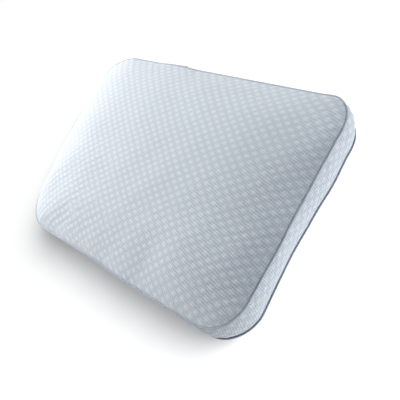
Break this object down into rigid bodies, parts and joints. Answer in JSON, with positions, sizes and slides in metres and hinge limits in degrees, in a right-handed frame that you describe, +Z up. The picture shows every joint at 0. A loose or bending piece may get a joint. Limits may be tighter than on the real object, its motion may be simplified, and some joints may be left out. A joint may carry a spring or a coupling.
{
  "type": "bed pillow",
  "caption": "Gusseted foam bed pillow: moulded foam core in a thin inner sleeve, inside a piped knit cover that opens with a zip along one long side.",
  "frame": {"origin": "middle of the flat patch of the underside that the pillow rests on", "axes": "+X along the pillow's length, +Y towards the long side with the zip, +Z up out of the front panel"},
  "size_m": [0.612, 0.4159, 0.12],
  "materials": {
    "knit": "pale blue-grey jacquard knit with a diagonal lattice of small raised puffs",
    "piping": "darker grey woven bias binding",
    "piping_cord": "twisted cotton cord",
    "foam": "open-cell viscoelastic foam with a matt skin",
    "sleeve": "thin white tricot knit",
    "zip_tape": "woven polyester tape",
    "zip_coil": "satin nylon monofilament",
    "zip_metal": "satin nickel-plated die casting",
    "label": "blank white satin ribbon"
  },
  "bodies": {
    "pillow": {"foam_core": "foam", "inner_sleeve_top": "sleeve", "inner_sleeve_bottom": "sleeve", "front_panel": "knit", "back_panel": "knit", "gusset_band": "knit", "zip_strip_front": "knit", "zip_strip_back": "knit", "front_piping_wrap": "piping", "back_piping_wrap": "piping", "front_piping_cord": "piping_cord", "back_piping_cord": "piping_cord", "zip_tape_front": "zip_tape", "zip_tape_back": "zip_tape", "zip_coil_front": "zip_coil", "zip_coil_back": "zip_coil", "zip_top_stop_front": "zip_metal", "zip_top_stop_back": "zip_metal", "zip_bottom_stop": "zip_metal", "care_label": "label"},
    "slider": {"zip_slider": "zip_metal"},
    "pull": {"zip_pull": "zip_metal"}
  },
  "joints": [
    {"name": "zip_slide", "type": "slide", "parent": "pillow", "child": "slider", "axis": [1, 0, 0], "range_m": [0, 0.3974]},
    {"name": "pull_hinge", "type": "hinge", "parent": "slider", "child": "pull", "pos_m": [-0.1987, 0.2074, 0.058], "axis": [0, 0, 1], "range_deg": [0, 180]}
  ]
}
